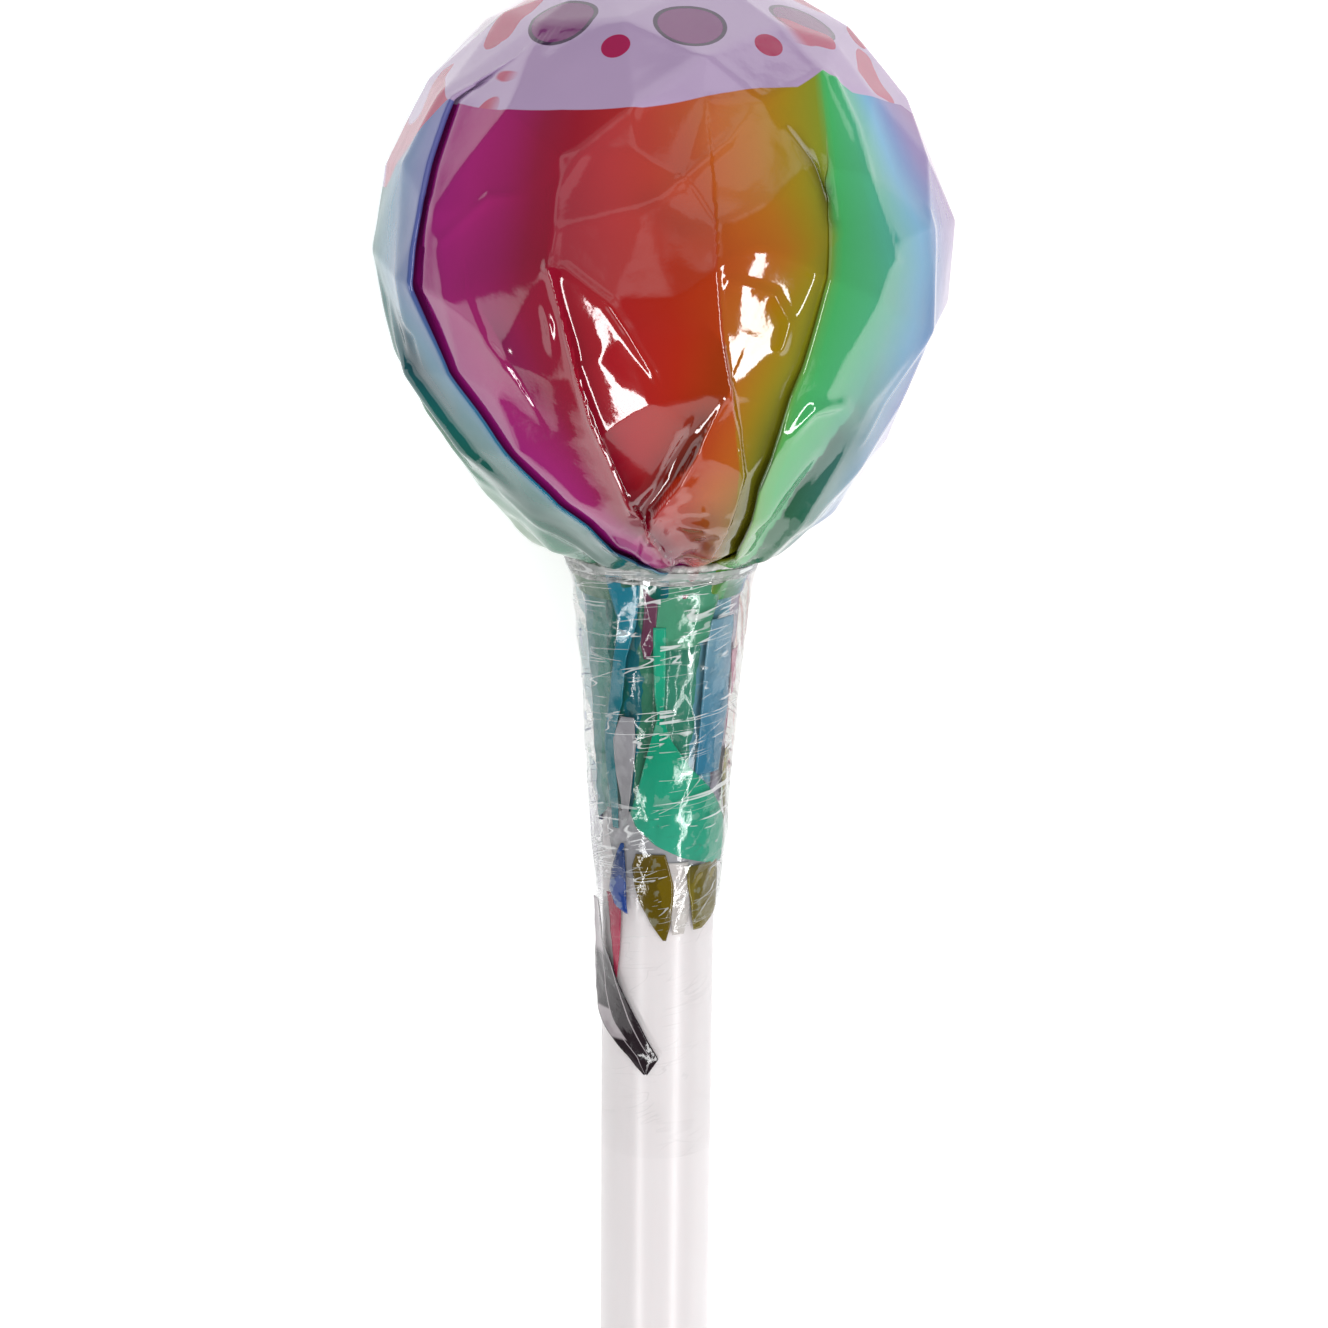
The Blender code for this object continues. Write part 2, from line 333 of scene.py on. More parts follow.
# Corners on the shown side: angle from the top, angle round, and how far the corner is lifted in mm.
SHOWN_CORNERS = (
    (38, -43, 0), (36, -14, 0), (46, 10, 0.1), (38, 38, 0), (43, 55, 0), (40, 76, 0), (36, -70, 0),
    (59, -37, 0.2), (57, -7, 0.15), (55, 9, -0.1), (56, 22, 0.2), (50, 42, 0.3), (55, 57, -0.1),
    (58, 78, 0.1), (57, -60, 0.45), (55, -82, 0.1), (71, -44, 0.1), (68, -21, 0.25), (66, -6, -0.2),
    (71, 4, 0.3), (69, 30, -0.1), (72, 44, 0.3), (70, 71, -0.1), (72, -62, 0.6), (74, -80, 0),
    (80, -48, 0.3), (76, -32, -0.3), (81, -20, 0.3), (76, -3, -0.25), (80, 10, 0.3), (76, 21, -0.2),
    (83, 60, 0.5), (84, 84, 0), (88, -21, 0.35), (87, 10, 0.35), (84, 18, -0.25), (89, 29, 0.1),
    (85, 50, 0.15), (93, -58, 0.5), (90, -78, 0), (96, -45, 0.3), (105, -32, 0.1), (94, -10, 0.1),
    (100, -6, 0.3), (93, 4, -0.3), (99, 11, 0.3), (103, 23, 0.2), (95, 44, 0.4), (103, 66, 0.7),
    (100, 84, 0), (111, -47, -0.3), (116, -38, -0.3), (110, -23, -0.35), (105, -13, 0.2), (122, -13, 0.3),
    (114, -2, 0.35), (112, 13, 0.25), (115, 24, -0.2), (118, 50, 0.2), (112, -64, 0.6), (108, -84, -0.4),
    (120, 72, 0), (112, 36, 0.15), (127, -36, 0.1), (124, -24, -0.25), (135, -8, 0.3), (132, 5, -0.5),
    (123, 8, 0.2), (130, 20, 0.3), (122, 31, 0.3), (128, 47, -0.1), (133, 61, 0.3), (128, -56, 0.1),
    (126, -76, -0.6), (130, 84, 0), (138, -23, -0.1), (143, -12, 0.3), (140, -2, -0.4), (143, 13, 0.2),
    (141, 27, 0), (144, 53, 0.2), (143, -42, -0.3), (142, -68, -0.5), (146, 76, 0), (153, -20, 0),
    (153, 5, 0), (153, 30, 0), (156, 58, 0), (154, -50, 0), (156, -85, 0),
)
BACK_RINGS = ((57, 8), (73, 9), (88, 9), (104, 9), (120, 8), (134, 7), (148, 6))
BACK_FROM, BACK_TO = 100, 262
BACK_LIFT = 0.2
CREASE_SHARPNESS = 420
FILM_SPRING = 0.08


def heading(polar, around):
    """Directions from the middle of the ball, from angles in degrees."""
    p, a = np.radians(polar), np.radians(around)
    return np.stack((np.sin(p) * np.sin(a), np.cos(p) * np.ones_like(a), np.sin(p) * np.cos(a)), axis=-1)


def ball_reach(polar):
    return np.interp(polar, BALL_POLAR, BALL_REACH_MM) * MM


def facet_corners():
    places = [(0, 0, 0)] + [(20, 30 + 72 * n, 0) for n in range(5)]
    places += [(40, 115 + 48 * n, 0) for n in range(4)]
    places += SHOWN_CORNERS
    for ring, (polar, count) in enumerate(BACK_RINGS):
        gap = (BACK_TO - BACK_FROM) / count
        for n in range(count):
            around = BACK_FROM + gap * (n + 0.5 * (ring % 2))
            lift = BACK_LIFT * math.sin(5 * n + 2 * ring)
            places.append((polar + 2.5 * math.sin(3 * n + ring), around, lift))
    return places + [(166, 72 * n, 0) for n in range(5)] + [(180, 0, 0)]


def facets():
    """For each facet: a plane that finds the directions it covers, and its own plane."""
    polars, arounds, lifts = np.array(facet_corners(), dtype=float).T
    towards_corners = heading(polars, arounds)
    corners = towards_corners * (ball_reach(polars) + lifts * MM)[:, None]
    hull = bmesh.new()
    for direction in towards_corners:
        hull.verts.new(direction)
    hull.verts.index_update()
    bmesh.ops.convex_hull(hull, input=hull.verts)
    finders, planes = [], []
    for face in hull.faces:
        face.normal_update()
        finders.append(np.array(face.normal / face.normal.dot(face.verts[0].co)))
        one, two, three = [corners[vert.index] for vert in face.verts]
        normal = np.cross(two - one, three - one)
        planes.append(normal / (normal @ one))
    hull.free()
    return np.array(finders), np.array(planes)


FINDERS, PLANES = facets()


def faceted_reach(directions, polar):
    """The distance to the facets, with rounded creases and a little of the ball's own curve."""
    reach = np.empty(len(directions))
    for start in range(0, len(directions), 8192):
        some = directions[start:start + 8192]
        nearness = some @ FINDERS.T
        share = np.clip(nearness / nearness.max(axis=1)[:, None], 0, None) ** CREASE_SHARPNESS
        distance = 1 / np.maximum(some @ PLANES.T, 1)
        reach[start:start + 8192] = (share * distance).sum(axis=1) / share.sum(axis=1)
    return reach * (1 - FILM_SPRING) + ball_reach(polar) * FILM_SPRING


print(len(PLANES), "facets")

# %% [markdown]
# A pleat is drawn by its edge: the angle round the stick at each angle from the top. Its section is a
# flat Z: the lower layer runs in under the lip, turns back, comes out again as the middle layer, turns
# round the lip and carries on as the top layer. It grows from nothing, as a pleat in film does.

# %% The pleats
LEFT_EDGE = (
    (45, -42), (58, -55), (77, -52), (95, -54), (111, -50), (125, -42), (139, -30), (152, -9), (163, 4),
)
RIGHT_EDGE = ((48, 42), (72, 34), (91, 31), (113, 27), (133, 25), (150, 28), (163, 36))
PLEAT_SWAY = 7
PLEAT_FADE = 7.0
DIP_WIDTH = 0.9
PLEAT_SPREAD = 5
PLEAT_COLUMNS = 15
TURN_COLUMN = 4


def back_edge(around):
    """The edge of a pleat on the back, which sways a little on its way down."""
    sway = {p: PLEAT_SWAY * math.sin(math.radians(3 * p) + around) for p in range(66, 165, 12)}
    return tuple((p, around + aside) for p, aside in sway.items())


# Each pleat: its edge, the side on top (1 for the larger angle), in mm its heights on the upper and the
# lower half, the width tucked under and the dip beside the lip, and the degrees over which it grows. The
# last is the first again, one turn further on.
LEFT_PLEAT = (LEFT_EDGE, -1, (0.95, 0.6), 2.2, 0.3, 18)
RIGHT_PLEAT = (RIGHT_EDGE, 1, (0.8, 0.8), 2.0, 0.15, 84)
BACK_PLEATS = ((118, 1), (163, -1), (208, 1), (252, -1))
PLEATS = (
    LEFT_PLEAT,
    RIGHT_PLEAT,
    *((back_edge(around), side, (0.75, 0.75), 1.6, 0.3, 30) for around, side in BACK_PLEATS),
    (tuple((p, a + 360) for p, a in LEFT_EDGE), *LEFT_PLEAT[1:]),
)


def over_lip(distance):
    return np.exp(-np.maximum(distance, 0) / PLEAT_FADE)


def under_lip(distance, dip):
    return -dip * hump(np.maximum(distance, 0), DIP_WIDTH)


def pleat_section(tuck, dip):
    """The Z as points (mm across, share of the height), from the lower layer to the top one."""
    low = [(x, float(under_lip(-x, dip))) for x in (-1.3, -0.7, -0.2)] + [(tuck * 0.5, -dip)]
    turn = [(tuck, -dip * 0.7), (tuck + 0.1, 0.0), (tuck * 0.5, 0.2), (0.2, 0.3)]
    lip = [(-0.08, 0.42), (-0.18, 0.6), (-0.16, 0.8), (0.0, 0.95)]
    top = [(x, float(over_lip(x))) for x in (0.25, 0.6, 1.0, 1.4)]
    return np.array(low + turn + lip + top)


def lip_height(pleat, polar):
    upper, lower = pleat[2]
    return (upper + (lower - upper) * smooth_step(polar, 95, 110)) * grown(pleat, polar)


def section_at(share, pleat):
    """A place on the Z, for a share of the way across it: mm across, and the share of the height."""
    side, tuck, dip = pleat[1], pleat[3], pleat[4]
    section = pleat_section(tuck, dip)
    steps = np.linspace(0, 1, len(section))
    share = share if side > 0 else 1 - share
    return side * np.interp(share, steps, section[:, 0]), np.interp(share, steps, section[:, 1])


def edge_angle(edge, polar):
    polars, arounds = zip(*edge)
    return np.interp(polar, polars, arounds)


def grown(pleat, polar):
    starts_at = pleat[0][0][0]
    return smooth_step(polar, starts_at, starts_at + pleat[-1])


def pleat_angle(pleat, share, polar):
    """The angle round the stick of a place across a pleat."""
    edge = pleat[0]
    ring = np.maximum(ball_reach(polar) * np.sin(np.radians(polar)) / MM, 0.5)
    folded = np.degrees(section_at(share, pleat)[0] / ring)
    share_grown = grown(pleat, polar)
    return edge_angle(edge, polar) + (1 - share_grown) * PLEAT_SPREAD * (share - 0.5) + share_grown * folded


def pleat_lift(polar, around):
    """How far the panels stand up or dip beside the pleats' edges."""
    ring = ball_reach(polar) * np.sin(np.radians(polar)) / MM
    lift = np.zeros_like(polar)
    for pleat in PLEATS[:-1]:
        turn = (around - edge_angle(pleat[0], polar) + 180) % 360 - 180
        beside = np.radians(turn) * pleat[1] * ring
        shape = np.where(beside > 0, over_lip(beside), under_lip(-beside, pleat[4]))
        lift += MM * lip_height(pleat, polar) * shape
    return lift


print(len(PLEATS) - 1, "pleats")

# %% [markdown]
# Between the pleats the film has smaller creases. Each is a path over the ball with its height in mm at
# each of its points. A ridge is the same on both sides. A step has one side on top of the other, as
# where a small tuck of film lies flat.

# %% The small creases
RIDGE, LEFT_ON_TOP, RIGHT_ON_TOP = 0, -1, 1
CREASES = (
    (LEFT_ON_TOP, 0.3, ((86, -21, 0.05), (102, -18, 0.3), (118, -15, 0.5), (136, -8, 0.75),
     (152, 3, 0.8))),
    (RIDGE, 0.5, ((88, -21, 0.12), (102, -18, 0.22), (118, -15, 0.26), (136, -8, 0.2), (150, 1, 0.1))),
    (RIDGE, 0.8, ((88, -21, 0.16), (75, -21, 0.14), (67, -17, 0.12), (57, -7, 0))),
    (RIDGE, 0.5, ((88, -18, 0.14), (94, -10, 0.22), (100, -6, 0.24), (107, -2, 0.2), (112, 0, 0))),
    (LEFT_ON_TOP, 0.35, ((50, 9, 0), (72, 9.5, 0.12), (88, 9.6, 0.2), (99, 11, 0.25), (112, 14, 0.35))),
    (LEFT_ON_TOP, 0.35, ((111, 14, 0.35), (120, 17, 0.5), (130, 20, 0.6), (143, 20, 0.7))),
    (RIGHT_ON_TOP, 0.3, ((48, -46, 0.2), (58, -54, 0.55), (77, -51, 0.55), (90, -52, 0.4), (102, -52, 0))),
    (RIGHT_ON_TOP, 0.4, ((113, 12, 0.1), (123, 8, 0.7), (132, 4, 0.9), (140, -3, 0.8), (147, -6, 0.3))),
    (RIDGE, 0.9, ((114, 9, -0.05), (123, 5.5, -0.45), (132, 1, -0.5), (140, -6, -0.4))),
    (RIDGE, 0.8, ((121, 29, 0.3), (116, 33, 0.5), (116, 41, 0.5), (121, 48, 0.2))),
    (RIDGE, 1.4, ((126, 43, -0.2), (137, 40, -0.7), (145, 38, -0.7), (155, 40, -0.4))),
    (RIGHT_ON_TOP, 0.5, ((124, 49, 0.1), (133, 47, 0.5), (143, 45, 0.7), (155, 46, 0.5))),
    (RIDGE, 0.5, ((52, 45, 0.3), (62, 46, 0.2), (73, 44, 0.15), (88, 48, 0.15), (89, 52, 0))),
    (RIDGE, 0.7, ((80, 62, 0.1), (87, 64, 0.2), (106, 65, 0.2), (126, 55, 0.1))),
    (RIDGE, 0.45, ((62, 27, 0.1), (68, 30, 0.45), (75, 33, 0.35), (80, 34, 0))),
    (RIDGE, 0.6, ((66, 33, -0.1), (71, 33.5, -0.5), (79, 34, -0.3))),
    (RIDGE, 0.6, ((85, -46, 0.1), (76, -36, 0.18), (75, -26, 0))),
    (LEFT_ON_TOP, 0.45, ((95, -39, 0.1), (104, -36, 0.25), (109, -32, 0.22), (124, -26, 0))),
    (RIDGE, 0.6, ((56, 21, 0), (64, 13, 0.12), (71, 4, 0.12), (78, -4, 0))),
    (RIDGE, 0.55, ((103, 23, 0.2), (98, 24, 0.25), (93, 21, 0.2), (90, 12, 0.1))),
    (RIDGE, 0.5, ((94, -23, 0), (99, -22, 0.2), (106, -22, 0))),
    (RIDGE, 1, ((144, -22, 0), (148, -14, 0.7), (152, -6, 0.7), (156, 0, 0.2))),
    (RIDGE, 0.8, ((92, -78, 0), (100, -74, 0.5), (109, -72, 0.5), (118, -70, 0))),
    (LEFT_ON_TOP, 0.9, ((98, -70, 0), (106, -66, 0.9), (116, -61, 1.1), (127, -54, 1), (138, -43, 0))),
    (LEFT_ON_TOP, 0.6, ((112, -80, 0), (120, -74, 0.6), (130, -66, 0.6), (140, -56, 0))),
    (RIDGE, 0.5, ((101, -82, 0), (108, -80, 0.35), (116, -76, 0))),
    (RIDGE, 0.45, ((99, -64, 0), (105, -60, -0.25), (112, -60, 0))),
    (RIDGE, 0.7, ((140, -52, 0.1), (148, -38, 0.3), (156, -20, 0.4))),
    (RIDGE, 0.7, ((142, 60, 0.1), (150, 58, 0.3), (158, 60, 0.4))),
    (RIDGE, 0.8, ((75, 130, 0), (90, 140, 0.3), (110, 136, 0.2), (125, 145, 0))),
    (RIDGE, 0.8, ((95, 185, 0), (110, 180, 0.3), (130, 190, 0.4), (150, 186, 0.3))),
    (RIDGE, 0.8, ((85, -130, 0), (100, -128, 0.3), (120, -134, 0.3), (140, -126, 0.3))),
)
BALL_RADIUS = 29.8
STEP_FADE = 2.6


def beside_path(directions, path):
    """The distance in mm to a path on the ball, the same signed by side, and the path's third number."""
    polars, arounds, numbers = np.array(path, dtype=float).T
    corners = heading(polars, arounds) * BALL_RADIUS
    places = directions * BALL_RADIUS
    nearest = np.full(len(places), 1e9)
    signed = np.zeros(len(places))
    number = np.zeros(len(places))
    for n in range(len(corners) - 1):
        along = corners[n + 1] - corners[n]
        offset = places - corners[n]
        share = np.clip(offset @ along / (along @ along), 0, 1)
        apart = np.linalg.norm(offset - share[:, None] * along, axis=1)
        closer = apart < nearest
        turned = np.einsum("ij,ij->i", np.cross(along, offset), places)
        nearest = np.where(closer, apart, nearest)
        signed = np.where(closer, np.sign(turned) * apart, signed)
        number = np.where(closer, numbers[n] + share * (numbers[n + 1] - numbers[n]), number)
    return nearest, signed, number


def crease_lift(directions, crease):
    """The height that one crease adds at each direction."""
    side, width, path = crease
    nearest, signed, height = beside_path(directions, path)
    if side == RIDGE:
        return height * MM * hump(nearest, width)
    beside = signed * side
    ends = np.exp(-np.maximum(nearest - np.abs(signed), 0))
    rise = height * MM * smooth_step(beside, -width, width)
    return rise * np.exp(-np.maximum(beside, 0) / STEP_FADE) * ends


print(len(CREASES), "crease_glints")

# %% Painted shade in the hollows of the folds and under their lips
# The colour is deeper there, as painted shade: the side of the path it lies on, how far it reaches in
# mm, and the path with its depth from 0 to 1.
BOTH_SIDES, LEFT_OF_PATH, RIGHT_OF_PATH = 0, -1, 1
PAINTED_SHADE_PLACES = (
    (LEFT_OF_PATH, 3, ((111, 13, 0.2), (118, 10, 0.8), (127, 7, 0.95), (135, 1, 0.9), (142, -4, 0.6))),
    (RIGHT_OF_PATH, 1.3, ((86, -21, 0), (100, -18, 0.3), (118, -15, 0.5), (136, -8, 0.6), (150, 1, 0.5))),
    (BOTH_SIDES, 0.8, ((63, 28.5, 0.2), (69, 31, 0.7), (74, 33, 0.95), (80, 33, 0.3))),
    (LEFT_OF_PATH, 0.9, ((80, 33, 0), (95, 30.5, 0.35), (113, 27, 0.5), (133, 25, 0.8), (150, 28, 0.9))),
    (RIGHT_OF_PATH, 4.2, ((115, 46, 0.1), (124, 43, 0.9), (136, 40, 0.95), (148, 39, 0.9),
     (157, 43, 0.8))),
    (BOTH_SIDES, 1.7, ((97, -68, 0), (104, -63, 0.8), (111, -61, 0.9), (119, -55, 0.4))),
    (BOTH_SIDES, 2.4, ((120, -62, 0.1), (132, -52, 0.5), (144, -38, 0.6), (156, -20, 0.6))),
    (BOTH_SIDES, 3.2, ((137, 7, 0.1), (142, 11, 0.6), (150, 13, 0.7))),
    (BOTH_SIDES, 6.5, ((106, 56, 0.2), (118, 56, 0.5), (130, 54, 0.6), (147, 56, 0.6))),
    (LEFT_OF_PATH, 2.6, ((110, 27, 0.05), (122, 26, 0.45), (135, 25, 0.6), (150, 28, 0.7))),
    (BOTH_SIDES, 1.2, ((143, -24, 0), (148, -17, 0.6), (153, -8, 0.6))),
    (RIGHT_OF_PATH, 2, ((95, -38, 0), (103, -33, 0.4), (110, -31, 0.3), (119, -27, 0))),
    (LEFT_OF_PATH, 2.6, ((97, 7, 0), (102, 12, 0.3), (110, 13, 0.25), (116, 12, 0))),
    (BOTH_SIDES, 1.5, ((76, -3, 0.15), (80, 3, 0.2), (80, 9, 0.1))),
)


def felt_beside(directions, place):
    side, reach, path = place
    nearest, signed, depth = beside_path(directions, path)
    if side == BOTH_SIDES:
        return depth * hump(nearest, reach)
    beside = signed * side
    return depth * smooth_step(beside, -0.15, 0.15) * hump(nearest, reach)


# These are the places of painted shade.
print(len(PAINTED_SHADE_PLACES), "places with more than one layer")

# %% [markdown]
# The sheet is now wrapped, in two pieces that meet out of sight inside the two pleats of the shown
# side. The panel between them has the finest grid, because all eyes go there. Two more numbers are kept
# for each point: where it lies on the print, and how far below the cap's edge it is. The print slides
# under the pleats, since the film narrows towards the neck.

# %% The grid, and where the print slides
CAP_ROWS, BODY_ROWS, NECK_ROWS = 34, 270, 6
CAP_TO = 45.0
SHOULDER = 163.0
NECK_AT, NECK_RADIUS = 36.0, 8.75
GATHERS = 13
GATHER_DEPTH = 0.3
GATHER_FROM = 130
WAVE_SIZE, WAVE_HEIGHT = 6.0, 0.035
CRINKLE_SIZE, CRINKLE_HEIGHT, CRINKLE_AT_NECK = 2.0, 0.01, 0.16
CRUMPLE_AT, CRUMPLE_REACH, CRUMPLE_SIZE, CRUMPLE_HEIGHT = (142, 10), 3.2, 1.5, 0.3
PANEL_COLUMNS = (230, 92, 14, 16, 14, 62)
PRINT_FROM, PRINT_TO = -60, 320
PRINT_GAP = 1.6
PRINT_MIDDLE = (-52, 31.5, 118, 163, 208, 252, 306)
SLIDE_POLAR = (55, 90, 115, 132, 152, 165)
PRINT_SLIDES = {
    (1, -1): (29.9, 27.5, 28, 29, 28, 27),
    (1, 1): (36.5, 34.4, 34.4, 34, 33.6, 33.4),
    (2, -1): (150, 98, 88, 86, 82, 80),
    (5, 1): (254, 254, 260, 264, 266, 266),
    (6, -1): (303, 298, 288, 282, 279, 278),
}
# Small tucks hide a little of the print: the side that slides, how far the slide is felt in mm, and
# the path with the slide in degrees.
PRINT_TUCKS = (
    (LEFT_OF_PATH, 13, ((57, 10, 2), (72, 9.5, -1), (88, 9.6, -4), (99, 11, -9), (112, 14, -11),
     (128, 18, -9), (140, 20, -1), (152, 22, 0))),
    (BOTH_SIDES, 7, ((58, 17, 3), (75, 17, 0), (86, 18, -6), (91, 20, -3), (97, 24, 0))),
)
CAP_EDGE_AROUND = (
    -60, -39, -24, -5, 13, 23, 33, 42, 50, 72, 84, 120, 180, 252, 276, 285, 295, 304, 312,
)
CAP_EDGE_POLAR = (
    58.4, 59, 57.6, 57.1, 54, 52.9, 53, 50, 54.8, 58.6, 66, 64, 63, 66, 78, 77.5, 70, 58.4, 58.4,
)
print(PANEL_COLUMNS[0], "by", BODY_ROWS, "cells on the shown panel")

# %% Wrap the film over the ball
def strip_of_columns(first, last):
    """The columns from inside one pleat to inside another: panel or pleat, its number, its share."""
    def turn(n):
        return TURN_COLUMN if PLEATS[n][1] > 0 else PLEAT_COLUMNS - TURN_COLUMN

    columns = [("pleat", first, k / PLEAT_COLUMNS) for k in range(turn(first), PLEAT_COLUMNS)]
    for n in range(first, last):
        columns += [("panel", n, k / PANEL_COLUMNS[n]) for k in range(PANEL_COLUMNS[n])]
        stop = PLEAT_COLUMNS if n + 1 < last else turn(last) + 1
        columns += [("pleat", n + 1, k / PLEAT_COLUMNS) for k in range(stop)]
    return columns


def print_beside(n, side, polar):
    """Where the print is at the left (-1) or right (1) side of a pleat."""
    slide = PRINT_SLIDES.get((n, side))
    return np.interp(polar, SLIDE_POLAR, slide) if slide else PRINT_MIDDLE[n] + side * PRINT_GAP + 0 * polar


def column_shape(kind, n, share, polar):
    """The angle, print place and pleat height of one column at each polar angle."""
    if kind == "pleat":
        around = pleat_angle(PLEATS[n], share, polar)
        start, end = print_beside(n, -1, polar), print_beside(n, 1, polar)
        lift = MM * lip_height(PLEATS[n], polar) * section_at(share, PLEATS[n])[1]
        return around, start + (end - start) * share, lift
    left, right = pleat_angle(PLEATS[n], 1.0, polar), pleat_angle(PLEATS[n + 1], 0.0, polar)
    around = left + (right - left) * share
    start, end = print_beside(n, 1, polar), print_beside(n + 1, -1, polar)
    return around, start + (end - start) * share, pleat_lift(polar, around)


def film_lift(directions, polar, around):
    """Everything small that stands up from the facets: creases, gathers, waves and crumples."""
    lift = sum(crease_lift(directions, crease) for crease in CREASES)
    near_neck = smooth_step(polar, GATHER_FROM, SHOULDER)
    ribs = np.cos(np.radians(GATHERS * around) + 2 * np.sin(np.radians(2 * around)))
    lift += GATHER_DEPTH * MM * near_neck * ribs
    unit = directions * BALL_RADIUS
    crinkle = CRINKLE_HEIGHT + CRINKLE_AT_NECK * near_neck
    lift += (WAVE_HEIGHT * wavering(unit, WAVE_SIZE) + crinkle * wavering(unit, CRINKLE_SIZE, 1)) * MM
    from_crumple = np.linalg.norm(unit - heading(*CRUMPLE_AT) * BALL_RADIUS, axis=1)
    crumple = hump(from_crumple, CRUMPLE_REACH)
    return lift + CRUMPLE_HEIGHT * MM * crumple * wavering(unit, CRUMPLE_SIZE, 2)


def make_ball_film(name, first, last):
    layout = strip_of_columns(first, last)
    rows = CAP_ROWS + BODY_ROWS + NECK_ROWS
    sheet, across, down = flat_sheet(name, len(layout) - 1, rows)
    column = np.rint(across * (len(layout) - 1)).astype(int)
    row = np.rint(down * rows).astype(int)
    row_polar = np.concatenate((
        np.linspace(0, CAP_TO, CAP_ROWS + 1)[:-1],
        np.linspace(CAP_TO, SHOULDER, BODY_ROWS + 1),
        np.full(NECK_ROWS, SHOULDER),
    ))
    around, printed, lift = [np.empty((len(layout), rows + 1)) for _ in range(3)]
    for n, (kind, part, share) in enumerate(layout):
        around[n], printed[n], lift[n] = column_shape(kind, part, share, row_polar)
    polar = row_polar[row]
    around, printed, lift = around[column, row], printed[column, row], lift[column, row]

    directions = heading(polar, around)
    reach = faceted_reach(directions, polar) + lift + film_lift(directions, polar, around)
    facing = directions @ DOWN
    floor = np.where(facing > 0.5, FLOOR_TO_MIDDLE / np.maximum(facing, 0.5), 1.0)
    points = directions * np.minimum(reach, floor)[:, None]

    tucked = np.clip((row - CAP_ROWS - BODY_ROWS) / NECK_ROWS, 0, 1)[:, None]
    put_points(sheet, points * (1 - tucked) + on_stick(NECK_RADIUS, around, NECK_AT) * tucked)

    printed += sum(felt_beside(directions, tuck) for tuck in PRINT_TUCKS)
    below_cap = (polar - np.interp(around, CAP_EDGE_AROUND, CAP_EDGE_POLAR)) / 100 + 0.5
    put_map(sheet, "print", (printed - PRINT_FROM) / (PRINT_TO - PRINT_FROM), below_cap)
    # A third map holds the painted shade of the folds' hollows and lips.
    layers = 1 - np.prod([1 - felt_beside(directions, place) for place in PAINTED_SHADE_PLACES], axis=0)
    put_map(sheet, "layers", layers, np.zeros_like(layers))
    merge_doubles(sheet)
    return sheet


shown_film = make_ball_film("shown_film", 0, 1)
wrapped_film = make_ball_film("wrapped_film", 1, 6)
print("points:", [len(sheet.data.vertices) for sheet in (shown_film, wrapped_film)])

# %% [markdown]
# ## The film over the ball: its finish
# The print is a rainbow that runs round the ball, below a lavender cap with plain round marks. A
# picture would be the usual way. Here the hues are stops of a ramp along the print's own map, so that
# they follow the pleats. The gloss comes from a low roughness and a high index of refraction.

# %% The printed film
RAINBOW = (
    (-57, (104, 26, 104)), (-50, (160, 24, 120)), (-42, (168, 30, 116)), (-34, (160, 26, 98)),
    (-27, (150, 20, 60)), (-20, (160, 14, 42)), (-12, (178, 34, 38)), (-5, (182, 44, 24)),
    (3, (184, 68, 18)), (10, (190, 94, 20)), (17, (184, 112, 20)), (24, (164, 134, 16)),
    (31, (134, 148, 36)), (34, (70, 182, 98)), (41, (82, 184, 130)), (47, (88, 178, 162)),
    (54, (88, 166, 206)), (61, (78, 118, 184)), (68, (112, 92, 166)), (80, (136, 82, 152)),
    (100, (140, 40, 100)), (140, (150, 36, 34)), (170, (156, 100, 20)), (196, (124, 140, 30)),
    (218, (50, 150, 90)), (240, (80, 160, 190)), (258, (124, 130, 184)), (264, (100, 136, 46)),
    (273, (34, 122, 84)), (281, (0, 108, 102)), (290, (14, 116, 150)), (303, (92, 96, 166)),
)


